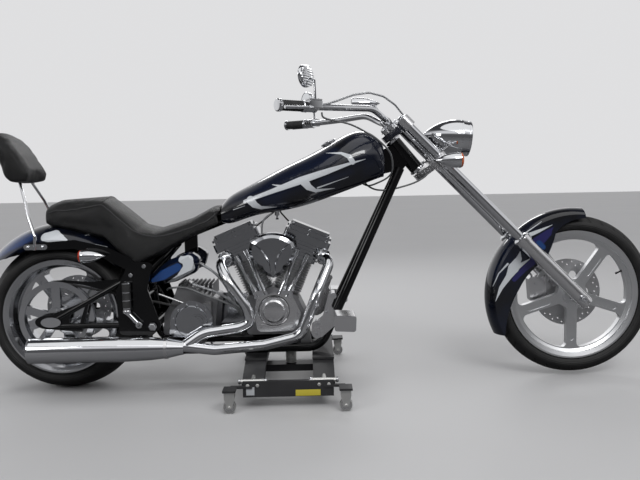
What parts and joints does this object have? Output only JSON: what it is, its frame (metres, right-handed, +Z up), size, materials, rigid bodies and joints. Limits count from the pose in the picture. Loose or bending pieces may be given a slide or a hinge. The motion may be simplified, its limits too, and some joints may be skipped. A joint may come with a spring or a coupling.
{
  "type": "chopper motorcycle",
  "caption": "Long-fork V-twin chopper with low seat, backrest, forward controls and wide rear tyre, standing on a castored workshop lift",
  "frame": {"origin": "on the floor straight below the rear axle, in the machine's centre plane", "axes": "+X forward, +Y to the rider's left, +Z up"},
  "size_m": [2.898, 1.0676, 1.31],
  "materials": {
    "gloss_black": "gloss black paint",
    "body_paint": "gloss blue-black with silver stripes",
    "chrome": "mirror chrome",
    "polished_alloy": "polished aluminium",
    "cast_alloy": "cast aluminium",
    "bright_steel": "bright steel",
    "black_rubber": "black rubber",
    "tyre": "tyre rubber",
    "leather": "black leather",
    "clear_glass": "clear lamp glass",
    "red_lens": "red lens",
    "lift_paint": "dark grey paint"
  },
  "bodies": {
    "chassis": {"frame_spine": "gloss_black", "frame_cradle": "gloss_black", "swingarm": "gloss_black", "rear_axle": "chrome", "side_plates": "gloss_black", "rear_fender": "body_paint", "tail_lamp": "red_lens", "fender_struts": "gloss_black", "sissy_bar": "chrome", "backrest_pad": "leather", "seat": "leather", "fuel_tank": "body_paint", "filler_cap": "chrome", "oil_tank": "body_paint", "crankcase": "cast_alloy", "cam_cover": "polished_alloy", "cylinders": "cast_alloy", "cylinder_heads": "polished_alloy", "rocker_covers": "chrome", "pushrod_tubes": "chrome", "carburettor": "cast_alloy", "air_cleaner": "chrome", "gearbox": "cast_alloy", "gearbox_cover": "polished_alloy", "drive_belt": "black_rubber", "primary_cover": "polished_alloy", "exhaust_pipes": "chrome", "silencer": "chrome", "foot_controls": "polished_alloy", "front_pegs": "polished_alloy", "passenger_pegs": "black_rubber", "rear_signals": "chrome", "rear_caliper": "polished_alloy", "lift_base": "lift_paint", "lift_castors": "bright_steel", "lift_arms": "lift_paint", "lift_platform": "lift_paint", "oil_lines": "black_rubber"},
    "steering": {"fork_yokes": "polished_alloy", "fork_tubes": "chrome", "fork_sliders": "polished_alloy", "front_axle": "chrome", "front_fender": "body_paint", "front_caliper": "polished_alloy", "headlight": "chrome", "headlight_glass": "clear_glass", "front_signals": "chrome", "handlebar": "chrome", "grips": "black_rubber", "hand_controls": "chrome", "mirrors": "chrome", "brake_hose": "black_rubber"},
    "front_wheel": {"front_rim": "polished_alloy", "front_tyre": "tyre", "front_disc": "bright_steel"},
    "rear_wheel": {"rear_rim": "polished_alloy", "rear_tyre": "tyre", "rear_disc": "bright_steel", "rear_pulley": "polished_alloy"},
    "stand": {"side_stand": "chrome"}
  },
  "joints": [
    {"name": "steering", "type": "hinge", "parent": "chassis", "child": "steering", "pos_m": [1.484, 0, 0.985], "axis": [-0.6428, 0, 0.766], "range_deg": [-28, 28]},
    {"name": "front_wheel", "type": "hinge", "parent": "steering", "child": "front_wheel", "pos_m": [2.216, 0, 0.362], "axis": [0, 1, 0], "continuous": true},
    {"name": "rear_wheel", "type": "hinge", "parent": "chassis", "child": "rear_wheel", "pos_m": [0, 0, 0.326], "axis": [0, 1, 0], "continuous": true},
    {"name": "side_stand", "type": "hinge", "parent": "chassis", "child": "stand", "pos_m": [0.6, 0.13449, 0.14498], "axis": [0, -0.6756, -0.7373], "range_deg": [0, 100]}
  ]
}
